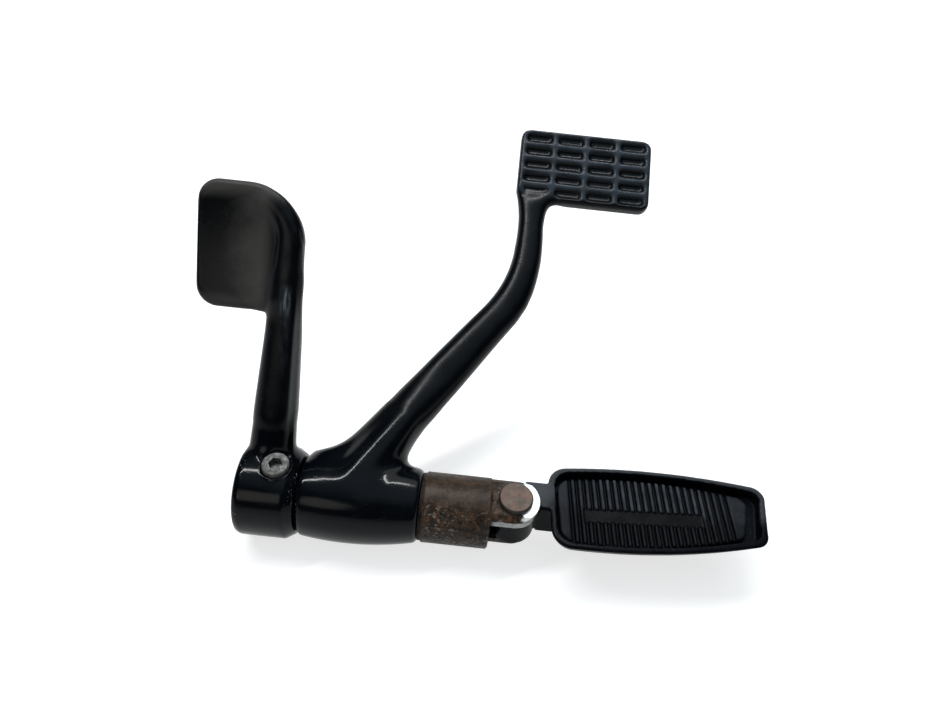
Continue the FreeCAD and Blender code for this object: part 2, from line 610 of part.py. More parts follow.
def make_heel_lever():
    arm = Part.makeLoft(heel_arm_sections(), True, True)
    plate, grip = make_paddle()
    lever = make_heel_hub().fuse([arm, plate]).cut(grip)
    lever.rotate(ORIGIN, X_AXIS, HEEL_ELEVATION)
    lever = lever.fuse(cylinder_z(LOCK_BOSS_RADIUS, SLEEVE_RADIUS, LOCK_BOSS_TOP, LOCK_SCREW_X))
    lever = lever.cut(cylinder_z(LOCK_COUNTERBORE_RADIUS, LOCK_SEAT_RADIUS, 2 * HEEL_HUB_RADIUS, LOCK_SCREW_X))
    lever = lever.cut(cylinder_z(SCREW_SHANK_RADIUS + SEAT_CLEARANCE, 0, LOCK_SEAT_RADIUS + OVERCUT, LOCK_SCREW_X))
    bore = cylinder_x(SLEEVE_RADIUS + HEEL_BORE_CLEARANCE, -OVERCUT, HEEL_HUB_END + OVERCUT)
    return lever.cut(bore).removeSplitter()


def make_lock_screw():
    top = LOCK_SEAT_RADIUS + SCREW_HEAD_HEIGHT
    head = cylinder_z(SCREW_HEAD_RADIUS, LOCK_SEAT_RADIUS, top, LOCK_SCREW_X)
    crown = [e for e in head.Edges if e.BoundBox.ZMin > top - SCREW_HEAD_HEIGHT / 2]
    head = head.makeChamfer(SCREW_HEAD_BEVEL, crown)
    shank = cylinder_z(SCREW_SHANK_RADIUS, SCREW_TIP_RADIUS, LOCK_SEAT_RADIUS, LOCK_SCREW_X)
    socket = hexagon_z(SCREW_SOCKET_FLATS, top - SCREW_SOCKET_DEPTH, top + OVERCUT, LOCK_SCREW_X)
    return head.fuse(shank).cut(socket).removeSplitter()


def peg_outline(inset, z, tip_gap=0.0):
    """Plan of the peg, drawn in by an inset, at a height z; the wire runs round from the root."""
    root = PEG_ROOT + inset
    side = PEG_ROOT_HALF_WIDTH - inset
    corner = PEG_ROOT_CORNER * side / PEG_ROOT_HALF_WIDTH
    bend = corner * (1 - math.sqrt(0.5))
    belly = PEG_BELLY_HALF_WIDTH - inset
    nose_at = PEG_NOSE_AT - inset - tip_gap
    nose = PEG_NOSE_HALF_WIDTH - inset
    tip = PEG_TIP - inset - tip_gap
    tip_half = PEG_TIP_HALF_WIDTH * nose / PEG_NOSE_HALF_WIDTH
    near_tip = tip - PEG_TIP_RAKE
    far_tip = tip + PEG_TIP_RAKE
    near_nose = nose_at - PEG_TIP_RAKE
    far_nose = nose_at + PEG_TIP_RAKE
    bulge_x = PEG_TIP_BULGE * (nose - tip_half)
    bulge = (nose + tip_half) / 2 + PEG_TIP_BULGE * (tip - nose_at)
    near_bulge = V((near_nose + near_tip) / 2 + bulge_x, -bulge, z)
    far_bulge = V((far_nose + far_tip) / 2 + bulge_x, bulge, z)
    return Part.Wire([
        line(V(root, side - corner, z), V(root, corner - side, z)),
        arc(V(root, corner - side, z), V(root + bend, bend - side, z), V(root + corner, -side, z)),
        arc(V(root + corner, -side, z), V(PEG_BELLY_AT, -belly, z), V(near_nose, -nose, z)),
        arc(V(near_nose, -nose, z), near_bulge, V(near_tip, -tip_half, z)),
        line(V(near_tip, -tip_half, z), V(far_tip, tip_half, z)),
        arc(V(far_tip, tip_half, z), far_bulge, V(far_nose, nose, z)),
        arc(V(far_nose, nose, z), V(PEG_BELLY_AT, belly, z), V(root + corner, side, z)),
        arc(V(root + corner, side, z), V(root + bend, side - bend, z), V(root, side - corner, z)),
    ])


def peg_prism(inset, bottom, top, tip_gap=0.0):
    return Part.Face(peg_outline(inset, bottom, tip_gap)).extrude(V(0, 0, top - bottom))


def seat_peg(shape):
    """Carry a piece from the peg's own centre line to its place on the pin."""
    shape.rotate(ORIGIN, Z_AXIS, PEG_SWEEP)
    shape.translate(V(PIN_X, 0, 0))
    return shape


def make_peg_tongue():
    """Tongue in the clevis slot, its square heel that stops on the barrel, and the neck round the ear's end."""
    height = TONGUE_TOP - TONGUE_BOTTOM
    end = PEG_ROOT + PEG_ROOT_CORNER
    tongue = cylinder_z(TONGUE_RADIUS, TONGUE_BOTTOM, TONGUE_TOP)
    heel = Part.makeBox(TONGUE_RADIUS, TONGUE_RADIUS, height, V(-TONGUE_RADIUS, 0, TONGUE_BOTTOM))
    bridge = Part.makeBox(end, NECK_NEAR_REACH + TONGUE_RADIUS, height, V(0, -NECK_NEAR_REACH, TONGUE_BOTTOM))
    neck = Part.makeBox(end - NECK_START, NECK_NEAR_REACH + NECK_FAR_REACH, NECK_DEPTH + PEG_RIM_TOP,
                        V(NECK_START, -NECK_NEAR_REACH, -NECK_DEPTH))
    corners = [e for e in neck.Edges if e.BoundBox.XLength > NECK_CORNER]
    neck = neck.makeChamfer(NECK_CORNER, corners)
    neck = neck.cut(cylinder_z(NECK_SEAT_RADIUS, -NECK_DEPTH - OVERCUT, PEG_RIM_TOP + OVERCUT))
    tongue = tongue.fuse([heel, bridge, neck])
    tongue.translate(V(PIN_X, 0, 0))
    return tongue


def make_footpeg():
    edge = PEG_RIM_TOP - PEG_RIM_BEVEL
    layers = []
    for share in (0.0, 0.2, 0.4, 0.6, 0.8, 1.0):
        layers.append(peg_outline(PEG_KEEL_INSET * share ** PEG_TUCK_POWER, edge - share * (edge + PEG_KEEL_DEPTH)))
    hull = Part.makeLoft(layers, True, True)
    rim = Part.makeLoft([peg_outline(PEG_RIM_BEVEL, PEG_RIM_TOP),
                         peg_outline(0.0, PEG_RIM_TOP - PEG_RIM_BEVEL)], True, True)
    peg = seat_peg(hull.fuse(rim)).fuse(make_peg_tongue())
    bed = peg_prism(PEG_RIM_WIDTH, RECESS_FLOOR, PEG_RIM_TOP + OVERCUT)
    core_outline = rounded_rectangle(PEG_CORE_START, PEG_CORE_END, -PEG_CORE_HALF_WIDTH, PEG_CORE_HALF_WIDTH,
                                     [PEG_CORE_CORNER] * 4, -PEG_KEEL_DEPTH - OVERCUT)
    core = prism(core_outline, CORE_ROOF + PEG_KEEL_DEPTH + OVERCUT)
    hollows = [bed, core]
    for x in peg_screw_places():
        hollows.append(cylinder_z(PEG_SCREW_RADIUS + SEAT_CLEARANCE, CORE_ROOF - OVERCUT, RECESS_FLOOR + OVERCUT, x))
    hollows = [seat_peg(hollow) for hollow in hollows]
    hollows.append(cylinder_z(PIN_RADIUS + RUNNING_CLEARANCE, -BARREL_RADIUS, BARREL_RADIUS, PIN_X))
    return peg.cut(hollows).removeSplitter()


def peg_screw_places():
    middle = (PEG_CORE_START + PEG_CORE_END) / 2
    return [middle - PEG_SCREW_SPACING / 2, middle + PEG_SCREW_SPACING / 2]


def make_rubber_plate():
    plate = peg_prism(RUBBER_INSET + PLATE_INSET, RECESS_FLOOR, PLATE_TOP, RUBBER_TIP_GAP)
    for x in peg_screw_places():
        plate = plate.cut(cylinder_z(PEG_SCREW_RADIUS + SEAT_CLEARANCE, RECESS_FLOOR - OVERCUT, PLATE_TOP + OVERCUT, x))
    return seat_peg(plate)


def rib_groove(x):
    """One drafted groove across the rubber, open a little above its top."""
    reach = PEG_BELLY_HALF_WIDTH
    floor = RUBBER_RIB_TOP - RIB_GROOVE_DEPTH
    draft = (RIB_GROOVE_WIDTH - RIB_GROOVE_FLOOR) / 2 / RIB_GROOVE_DEPTH
    rise = RIB_GROOVE_DEPTH / 4
    mouth = RIB_GROOVE_WIDTH / 2 + draft * rise
    foot = RIB_GROOVE_FLOOR / 2
    top = RUBBER_RIB_TOP + rise
    outline = [V(x - mouth, -reach, top), V(x + mouth, -reach, top), V(x + foot, -reach, floor),
               V(x - foot, -reach, floor), V(x - mouth, -reach, top)]
    return Part.Face(Part.makePolygon(outline)).extrude(V(0, 2 * reach, 0))


def make_footpeg_rubber():
    shoulder = RUBBER_RIB_TOP - RUBBER_EDGE
    rubber = peg_prism(RUBBER_INSET, RECESS_FLOOR, shoulder, RUBBER_TIP_GAP)
    crown = Part.makeLoft([peg_outline(RUBBER_INSET, shoulder, RUBBER_TIP_GAP),
                           peg_outline(RUBBER_INSET + RUBBER_EDGE, RUBBER_RIB_TOP, RUBBER_TIP_GAP)], True, True)
    rubber = rubber.fuse(crown).removeSplitter()
    rubber = rubber.cut(peg_prism(RUBBER_INSET + PLATE_INSET, RECESS_FLOOR, PLATE_TOP, RUBBER_TIP_GAP))
    first = PEG_ROOT + RUBBER_INSET + RUBBER_END_LAND
    last = PEG_TIP - RUBBER_INSET - RUBBER_TIP_GAP - RUBBER_END_LAND
    count = int((last - first) / RIB_PITCH) + 1
    band = Part.makeBox(SMOOTH_BAND_LENGTH, 2 * SMOOTH_BAND_HALF_WIDTH, RIB_GROOVE_DEPTH + OVERCUT,
                        V(SMOOTH_BAND_CENTRE - SMOOTH_BAND_LENGTH / 2, SMOOTH_BAND_OFFSET - SMOOTH_BAND_HALF_WIDTH,
                          RUBBER_RIB_TOP - RIB_GROOVE_DEPTH))
    grooves = [rib_groove(first + index * RIB_PITCH).cut(band) for index in range(count)]
    band.translate(V(0, 0, RIB_GROOVE_DEPTH - SMOOTH_BAND_DEPTH))
    return seat_peg(rubber.cut(Part.makeCompound(grooves)).cut(band))


def make_rubber_screws():
    screws = []
    for x in peg_screw_places():
        under = CORE_ROOF - PEG_SCREW_HEAD_HEIGHT
        head = cylinder_z(PEG_SCREW_HEAD_RADIUS, under, CORE_ROOF, x)
        rim = [e for e in head.Edges if e.BoundBox.ZMax < under + PEG_SCREW_HEAD_HEIGHT / 2]
        head = head.makeChamfer(PEG_SCREW_HEAD_HEIGHT / 3, rim)
        shank = cylinder_z(PEG_SCREW_RADIUS, CORE_ROOF, PLATE_TOP, x)
        slot = Part.makeBox(2 * PEG_SCREW_HEAD_RADIUS, PEG_SCREW_SLOT, PEG_SCREW_SLOT,
                            V(x - PEG_SCREW_HEAD_RADIUS, -PEG_SCREW_SLOT / 2, under))
        screws.append(seat_peg(head.fuse(shank).cut(slot).removeSplitter()))
    return Part.makeCompound(screws)


NODES = {
    "support_shaft": make_shaft,
    "hinge_pin": make_hinge_pin,
    "pin_clip": make_pin_clip,
    "spring_washer": make_spring_washer,
    "thrust_washer": make_thrust_washer,
    "inboard_washer": make_inboard_washer,
    "retaining_ring": make_retaining_ring,
    "toe_pedal": make_toe_pedal,
    "outer_bush": make_outer_bush,
    "inner_bush": make_inner_bush,
    "heel_lever": make_heel_lever,
    "lock_screw": make_lock_screw,
    "footpeg": make_footpeg,
    "footpeg_rubber": make_footpeg_rubber,
    "rubber_plate": make_rubber_plate,
    "rubber_screws": make_rubber_screws,
}

os.makedirs("parts", exist_ok=True)
for node, make in NODES.items():
    shape = make()
    solids = shape.Solids
    print(node, "solids", len(solids), "volume", round(shape.Volume, 1), "valid", shape.isValid())
    shape.exportStep("parts/" + node + ".step")
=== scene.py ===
"""Looks for the folding footrest with its two-lever foot pedal. Metres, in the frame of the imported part."""

import math
from collections import namedtuple

import bpy
from mathutils import Matrix, Vector

MM = 0.001

Glow = namedtuple("Glow", "towards start full strength colour")
Lamp = namedtuple("Lamp", "name place along width height power")
Casting = namedtuple("Casting", "voxel passes")
Fillet = namedtuple("Fillet", "casting start end reach passes metal")

# Places on the part, in mm
PIN_X = 135.5
BARREL_END_X = 124.0
FLOOR_Z = -23.0

# Directions up each lever, and square to the toe tread
TOE_ELEVATION = math.radians(30.0)
HEEL_ELEVATION = math.radians(55.0)
UP_TOE = (0.0, math.cos(TOE_ELEVATION), math.sin(TOE_ELEVATION))
OFF_TOE = (0.0, -math.sin(TOE_ELEVATION), math.cos(TOE_ELEVATION))
UP_HEEL = (0.0, math.cos(HEEL_ELEVATION), math.sin(HEEL_ELEVATION))

# Gloss paint of the levers, with its dust, scratches and chips, and painted sheen, reflection and highlight
# on the paddle, tread and heel arm
PAINT = (0.0008, 0.0014, 0.0024)
PAINT_DUSTY = (0.004, 0.005, 0.0062)
PADDLE_DUST_AND_SHEEN = (0.062, 0.06, 0.055)
TREAD_SHEEN = (0.038, 0.049, 0.062)
FLANK_REFLECTION = (0.11, 0.115, 0.11)
CROWN_HIGHLIGHT = (0.2, 0.235, 0.27)
SCRATCH = (0.022, 0.022, 0.021)
CHIP = (0.26, 0.25, 0.235)

# Turned steel of the shaft and pin, with painted shade around the pin head's edge
RUST_DARK = (0.019, 0.0115, 0.007)
RUST_BROWN = (0.044, 0.028, 0.018)
RUST_ORANGE = (0.098, 0.04, 0.014)
RUST_PIT = (0.004, 0.003, 0.002)
STEEL_FLECK = (0.23, 0.21, 0.185)
STEEL_NEAR_WHITE = (0.74, 0.75, 0.74)
PIN_DARK = (0.05, 0.031, 0.021)
PIN_BROWN = (0.115, 0.06, 0.036)
PIN_GREY = (0.1, 0.09, 0.08)
PIN_EDGE_SHADE = (0.008, 0.006, 0.005)

# Small steel pieces and bushes
STEEL_STAINED = (0.045, 0.044, 0.041)
STEEL_PALE = (0.15, 0.148, 0.142)
STEEL_DIRT = (0.02, 0.018, 0.016)
OIL_BLACK = (0.005, 0.005, 0.005)
OIL_BROWN = (0.022, 0.018, 0.015)
BRONZE_DARK = (0.3, 0.17, 0.06)
BRONZE_PALE = (0.5, 0.31, 0.13)

# Rubber and casting of the footpeg, with painted shade on the near ribs and in the grooves and a painted
# highlight on the far rim
RUBBER_DARK = (0.018, 0.0215, 0.027)
RUBBER_WORN = (0.042, 0.049, 0.058)
RUBBER_NEAR_SHADE = (0.0015, 0.002, 0.003)
RUBBER_ENDS = (0.004, 0.005, 0.007)
RUBBER_GROOVE_SHADE = (0.0008, 0.0011, 0.0017)
CASTING_DARK = (0.0012, 0.0018, 0.003)
CASTING_WORN = (0.0035, 0.0045, 0.006)
CASTING_RIM_HIGHLIGHT = (0.075, 0.082, 0.09)
CASTING_NECK = (0.05, 0.056, 0.062)
CASTING_GRIT = (0.03, 0.031, 0.032)

# Softening of the cast pieces: grid size in mm, passes over the whole piece
CASTINGS = {
    "toe_pedal": Casting(0.73, 7),
    "heel_lever": Casting(0.56, 8),
    "footpeg": Casting(0.5, 8),
    "footpeg_rubber": Casting(0.34, 10),
}
FETTLE_FACTOR = 0.5

# Cast fillets and crowned arms: line through the casting, reach from that line and metal put back, in mm
FILLETS = [
    Fillet("toe_pedal", (54.0, 10.0, 21.0), (78.0, 40.0, 30.0), 24.0, 58, 0.4),
    Fillet("toe_pedal", (86.0, 50.0, 29.0), (131.2, 135.0, 78.0), 22.0, 94, 0.6),
    Fillet("toe_pedal", (125.0, 165.0, 95.0), (190.0, 165.0, 95.0), 45.0, 4, 0.0),
    Fillet("heel_lever", (14.0, 15.0, 21.0), (14.0, 18.0, 26.0), 16.0, 30, 0.2),
    Fillet("heel_lever", (14.5, 27.0, 39.0), (17.5, 56.0, 80.0), 18.0, 40, 0.7),
    Fillet("heel_lever", (17.5, 60.0, 86.0), (9.0, 78.0, 112.0), 12.0, 30, 0.2),
]

# Share of a fillet's reach at which it acts in full
FILLET_CORE = 0.6

# The swelling where the toe arm grows out of its hub: ends of its centre line, half thicknesses there, in mm
ARM_ROOT_START = Vector((55.0, 5.2, 3.0))
ARM_ROOT_END = Vector((89.0, 53.7, 31.0))
ARM_ROOT_HALVES = (21.3, 8.6)
ARM_ROOT_WIDTH_SHARE = 0.74
ARM_ROOT_SIDES = 64

# The photograph's camera
CAMERA_PLACE = Vector((108.4, -186.6, 314.0)) * MM
CAMERA_FORWARD = Vector((0.0, 0.681, -0.7325))
CAMERA_ROLL = math.radians(6.1)
CAMERA_LENS = 27.06
CAMERA_CLIP_START = 0.01
SENSOR_WIDTH = 36.0

# The studio: glows by direction, between two cosines; lamps by their place from the part; a pale floor
WORLD_GLOWS = [
    Glow((0.0, 0.0, 1.0), -0.1, 0.0, 0.03, (0.8, 0.93, 1.0)),
    Glow((0.0, 0.0, -1.0), -0.22, -0.05, 0.95, (1.0, 1.0, 1.0)),
    Glow((0.1, 0.1, 1.0), 0.65, 1.0, 1.0, (0.7, 0.88, 1.0)),
    Glow((-0.32, -0.74, 0.6), 0.965, 0.995, 2.2, (1.0, 0.96, 0.88)),
]
LAMP_TARGET = Vector((0.06, 0.02, 0.0))
LAMPS = [
    Lamp("key", (-0.17, 0.265, 0.94), (0.88, 0.47, 0.0), 1.1, 0.045, 10.5),
    Lamp("fill", (0.45, 0.9, 1.2), (1.0, 0.0, 0.0), 0.7, 0.7, 3.0),
]
FLOOR_SIZE = 6.0
FLOOR_X = 0.1
FLOOR_GREY = 0.5
FLOOR_ROUGHNESS = 0.9
FLOOR_GLOW = 0.7

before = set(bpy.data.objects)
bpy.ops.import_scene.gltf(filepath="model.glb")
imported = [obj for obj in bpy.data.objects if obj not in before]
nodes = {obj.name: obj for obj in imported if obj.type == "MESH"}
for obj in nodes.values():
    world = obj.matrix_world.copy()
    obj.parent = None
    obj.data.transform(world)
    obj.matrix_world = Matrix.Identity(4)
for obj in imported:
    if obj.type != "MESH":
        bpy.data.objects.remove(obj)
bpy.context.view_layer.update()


class Shader:
    """Builds one material from small named steps."""

    def __init__(self, name):
        self.material = bpy.data.materials.new(name)
        self.material.use_nodes = True
        self.tree = self.material.node_tree
        self.bsdf = self.tree.nodes["Principled BSDF"]
        self.position = self.tree.nodes.new("ShaderNodeTexCoord").outputs["Object"]

    def set(self, **values):
        for name, value in values.items():
            self.bsdf.inputs[name.replace("_", " ")].default_value = value

    def link(self, output, socket):
        self.tree.links.new(output, socket)

    def feed(self, name, output):
        self.link(output, self.bsdf.inputs[name])

    def noise(self, scale, detail=4.0, roughness=0.55, stretch=(1.0, 1.0, 1.0), seed=0.0):
        mapping = self.tree.nodes.new("ShaderNodeMapping")
        mapping.inputs["Scale"].default_value = stretch
        mapping.inputs["Location"].default_value = (seed, seed * 0.7, seed * 1.3)
        self.link(self.position, mapping.inputs["Vector"])
        node = self.tree.nodes.new("ShaderNodeTexNoise")
        node.inputs["Scale"].default_value = scale
        node.inputs["Detail"].default_value = detail
        node.inputs["Roughness"].default_value = roughness
        self.link(mapping.outputs["Vector"], node.inputs["Vector"])
        return node.outputs["Fac"]

    def ramp(self, value, low, high, bottom=0.0, top=1.0):
        """Rises softly from bottom to top while a value goes from low to high."""
        node = self.tree.nodes.new("ShaderNodeMapRange")
        node.interpolation_type = "SMOOTHSTEP"
        node.inputs["From Min"].default_value = low
        node.inputs["From Max"].default_value = high
        node.inputs["To Min"].default_value = bottom
        node.inputs["To Max"].default_value = top
        self.link(value, node.inputs["Value"])
        return node.outputs["Result"]

    def between(self, length, low, high, bottom=0.0, top=1.0):
        """A ramp along a length, with low and high in millimetres."""
        return self.ramp(length, low * MM, high * MM, bottom, top)

    def near(self, length, middle, reach):
        """One at a place along an axis, fading to zero at a reach from it, in millimetres."""
        offset = self.maths("SUBTRACT", length, middle * MM)
        away = self.maths("ABSOLUTE", offset, 0.0)
        return self.between(away, reach, 0.0)

    def maths(self, operation, first, second):
        node = self.tree.nodes.new("ShaderNodeMath")
        node.operation = operation
        for socket, value in zip(node.inputs, (first, second)):
            if isinstance(value, (int, float)):
                socket.default_value = value
            else:
                self.link(value, socket)
        return node.outputs["Value"]

    def add(self, first, second):
        return self.maths("ADD", first, second)

    def most(self, first, second):
        return self.maths("MAXIMUM", first, second)

    def times(self, first, *others):
        for other in others:
            first = self.maths("MULTIPLY", first, other)
        return first

    def blend(self, factor, first, second):
        node = self.tree.nodes.new("ShaderNodeMix")
        node.data_type = "RGBA"
        self.link(factor, node.inputs["Factor"])
        for socket, value in ((node.inputs["A"], first), (node.inputs["B"], second)):
            if isinstance(value, tuple):
                socket.default_value = value + (1.0,)
            else:
                self.link(value, socket)
        return node.outputs["Result"]

    def axis(self, name):
        node = self.tree.nodes.new("ShaderNodeSeparateXYZ")
        self.link(self.position, node.inputs["Vector"])
        return node.outputs[name]

    def along(self, direction):
        """Distance from the origin along a direction."""
        node = self.tree.nodes.new("ShaderNodeVectorMath")
        node.operation = "DOT_PRODUCT"
        node.inputs[1].default_value = direction
        self.link(self.position, node.inputs[0])
        return node.outputs["Value"]

    def radius(self, first, second):
        """Distance from an axis, from two lengths square to it."""
        squares = [self.maths("POWER", length, 2.0) for length in (first, second)]
        return self.maths("SQRT", self.add(*squares), 0.0)

    def facing(self, name):
        geometry = self.tree.nodes.new("ShaderNodeNewGeometry")
        node = self.tree.nodes.new("ShaderNodeSeparateXYZ")
        self.link(geometry.outputs["Normal"], node.inputs["Vector"])
        return node.outputs[name]

    def bump(self, height, strength, distance):
        node = self.tree.nodes.new("ShaderNodeBump")
        node.inputs["Strength"].default_value = strength
        node.inputs["Distance"].default_value = distance
        self.link(height, node.inputs["Height"])
        self.feed("Normal", node.outputs["Normal"])


def black_paint():
    """Gloss black, crisp on the hubs and duller along the levers."""
    shader = Shader("gloss_black_paint")
    dust = shader.ramp(shader.noise(38.0, 6.0, 0.62), 0.4, 0.72)
    scratches = shader.ramp(shader.noise(160.0, 4.0, 0.6, (1.0, 5.0, 8.0), 3.0), 0.62, 0.76)
    from_shaft = shader.radius(shader.axis("Y"), shader.axis("Z"))
    chips = hub_chips(shader, from_shaft)
    paddle = paddle_dust_and_sheen(shader)
    colour = shader.blend(shader.times(dust, 0.5), PAINT, PAINT_DUSTY)
    # Dust with painted sheen in the heel paddle's dish and on its lips
    colour = shader.blend(paddle, colour, PADDLE_DUST_AND_SHEEN)
    # Painted sheen on the raised lands of the toe tread
    colour = shader.blend(tread_sheen(shader), colour, TREAD_SHEEN)
    # Painted reflection on the heel arm's outboard flank
    colour = shader.blend(flank_reflection(shader), colour, FLANK_REFLECTION)
    # Painted highlight on the heel arm's crown
    colour = shader.blend(crown_highlight(shader), colour, CROWN_HIGHLIGHT)
    colour = shader.blend(shader.times(scratches, 0.25), colour, SCRATCH)
    colour = shader.blend(shader.times(chips, 0.85), colour, CHIP)
    shader.feed("Base Color", colour)
    rough = shader.between(from_shaft, 26.0, 52.0, 0.09, 0.26)
    for mark, amount in ((dust, 0.07), (scratches, 0.12), (paddle, 0.35), (chips, 0.3)):
        rough = shader.add(rough, shader.times(mark, amount))
    shader.feed("Roughness", rough)
    shader.set(Specular_IOR_Level=0.115)
    height = shader.add(shader.noise(160.0, 3.0), shader.times(scratches, 0.25))
    shader.bump(height, 0.07, 0.6 * MM)
    return shader.material


def hub_chips(shader, from_shaft):
    """Specks of bare metal at the heel hub's inboard end and where the two hubs meet."""
    x = shader.axis("X")
    hub = shader.between(from_shaft, 27.0, 24.0)
    ends = shader.most(shader.near(x, 3.0, 3.0), shader.near(x, 29.5, 4.0))
    specks = shader.ramp(shader.noise(900.0, 4.0, 0.6, seed=7.0), 0.6, 0.68)
    clusters = shader.ramp(shader.noise(120.0, 3.0, 0.5, seed=4.0), 0.46, 0.6)
    return shader.times(specks, clusters, shader.times(ends, hub))


def paddle_dust_and_sheen(shader):
    """A grey film of dust and painted sheen in the heel paddle's dish and along its far and near lips."""
    x = shader.axis("X")
    up_heel = shader.along(UP_HEEL)
    clouds = shader.times(shader.noise(45.0, 6.0, 0.65, seed=11.0), 30.0 * MM)
    dish = shader.times(shader.between(shader.add(x, clouds), -2.0, 22.0), shader.between(x, 13.0, 4.0))
    far_lip = shader.between(up_heel, 139.0, 146.0)
    near_lip = shader.between(up_heel, 99.0, 93.0, 0.0, 0.7)
    lips = shader.times(shader.most(far_lip, near_lip), shader.between(x, 20.0, 6.0))
    return shader.times(shader.most(dish, lips), shader.between(up_heel, 84.0, 92.0, 0.0, 0.65))


def tread_sheen(shader):
    """A bluish painted sheen on the raised lands of the toe tread, so that the pocket floors stay dark as
    painted shade.
    """
    lands = shader.between(shader.along(OFF_TOE), 3.8, 5.0)
    beyond_arm = shader.between(shader.along(UP_TOE), 171.0, 173.5)
    clouds = shader.ramp(shader.noise(60.0, 5.0, 0.6, seed=15.0), 0.3, 0.65, 0.2, 0.68)
    return shader.times(beyond_arm, lands, clouds)


def flank_reflection(shader):
    """A painted reflection: a paler grey on the heel arm's outboard flank."""
    up_heel = shader.along(UP_HEEL)
    outboard = shader.ramp(shader.facing("X"), 0.5, 0.7)
    heel_only = shader.between(shader.axis("X"), 30.0, 28.0)
    above_hub = shader.between(up_heel, 30.0, 46.0, 0.0, 0.8)
    below_paddle = shader.between(up_heel, 104.0, 84.0)
    return shader.times(outboard, heel_only, above_hub, below_paddle)


def crown_highlight(shader):
    """A painted highlight: a scratchy streak on the heel arm's crown where it meets the paddle, with a faint
    tail down the arm.
    """
    up_heel = shader.along(UP_HEEL)
    scratchy = shader.ramp(shader.noise(700.0, 4.0, 0.6, (1.0, 0.16, 0.16), 17.0), 0.4, 0.62, 0.15, 1.0)
    head = shader.between(up_heel, 86.0, 97.0, 0.0, 0.5)
    tail = shader.between(up_heel, 55.0, 84.0, 0.0, 0.08)
    streak = shader.times(shader.most(head, tail), shader.between(up_heel, 106.0, 98.0))
    return shader.times(shader.near(shader.axis("X"), 18.6, 3.4), streak, scratchy)


def rusty_steel():
    """Brown rust, smooth on top of the barrel, pitted and flecked with bare steel lower down."""
    shader = Shader("rusty_turned_steel")
    z = shader.axis("Z")
    low = shader.between(z, 18.0, 12.0)
    patches = shader.ramp(shader.noise(150.0, 6.0, 0.72), 0.42, 0.58)
    orange = shader.ramp(shader.noise(330.0, 5.0, 0.65, seed=8.0), 0.53, 0.62)
    orange = shader.times(orange, shader.ramp(low, 0.0, 1.0, 0.3, 1.0))
    pits = shader.times(shader.ramp(shader.noise(330.0, 5.0, 0.7, seed=5.0), 0.5, 0.57), low)
    bright_patches = ear_bright_patches(shader)
    colour = shader.blend(patches, RUST_DARK, RUST_BROWN)
    colour = shader.blend(shader.times(orange, 0.7), colour, RUST_ORANGE)
    colour = shader.blend(shader.times(pits, 0.85), colour, RUST_PIT)
    colour = shader.blend(bare_flecks(shader, z, low), colour, STEEL_FLECK)
    colour = shader.blend(bright_patches, colour, STEEL_NEAR_WHITE)
    shader.feed("Base Color", colour)
    shader.feed("Metallic", shader.times(bright_patches, 0.25))
    shader.feed("Roughness", shader.ramp(bright_patches, 0.0, 1.0, 0.42, 0.36))
    shader.set(Specular_IOR_Level=0.14)
    height = shader.maths("SUBTRACT", shader.noise(330.0, 5.0, 0.65), shader.times(pits, 0.7))
    coarse = shader.times(shader.ramp(low, 0.0, 1.0, 0.4, 1.0), shader.ramp(bright_patches, 0.0, 1.0, 1.0, 0.1))
    shader.bump(shader.times(height, coarse), 0.8, 0.9 * MM)
    return shader.material


def bare_flecks(shader, z, low):
    """Flecks of bare steel in patches, most of them along the underside."""
    flecks = shader.ramp(shader.noise(760.0, 4.0, 0.7, (0.7, 1.2, 1.0), 9.0), 0.56, 0.64)
    patches = shader.ramp(shader.noise(75.0, 3.0, 0.6, seed=13.0), 0.42, 0.62)
    underside = shader.between(z, 4.0, -6.0, 0.0, 0.8)
    return shader.times(flecks, shader.times(shader.most(patches, underside), low))


def ear_bright_patches(shader):
    """Near-white metal colour on the upper ear: along its rim past the pin, and in a strip along its near
    side.
    """
    x = shader.axis("X")
    z = shader.axis("Z")
    ragged = shader.times(shader.noise(420.0, 4.0, 0.6, seed=2.0), 5.0 * MM)
    rim = shader.between(shader.add(x, ragged), PIN_X + 5.5, PIN_X + 7.0)
    rim = shader.times(rim, shader.between(z, 12.6, 13.6))
    near_side = shader.ramp(shader.facing("Y"), -0.55, -0.75)
    below_top = shader.between(shader.add(z, ragged), 15.4, 14.6)
    past_barrel = shader.between(x, BARREL_END_X, BARREL_END_X + 2.5)
    above_slot = shader.between(z, 7.0, 8.0, 0.0, 0.6)
    strip = shader.times(near_side, below_top, past_barrel, above_slot)
    return shader.most(rim, strip)


def pin_rust():
    """Even brown rust on the hinge pin, with painted shade as a dark ring around the edge of its head."""
    shader = Shader("rusty_pin")
    patches = shader.ramp(shader.noise(230.0, 6.0, 0.65), 0.36, 0.66)
    grey = shader.ramp(shader.noise(420.0, 4.0, 0.6, seed=6.0), 0.52, 0.68)
    from_pin = shader.radius(shader.maths("SUBTRACT", shader.axis("X"), PIN_X * MM), shader.axis("Y"))
    colour = shader.blend(patches, PIN_DARK, PIN_BROWN)
    colour = shader.blend(shader.times(grey, 0.6), colour, PIN_GREY)
    # Painted shade: a dark ring around the edge of the pin's head
    colour = shader.blend(shader.between(from_pin, 7.6, 8.0), colour, PIN_EDGE_SHADE)
    shader.feed("Base Color", colour)
    shader.set(Roughness=0.58, Metallic=0.1)
    shader.bump(shader.noise(600.0, 4.0, 0.6), 0.35, 0.4 * MM)
    return shader.material


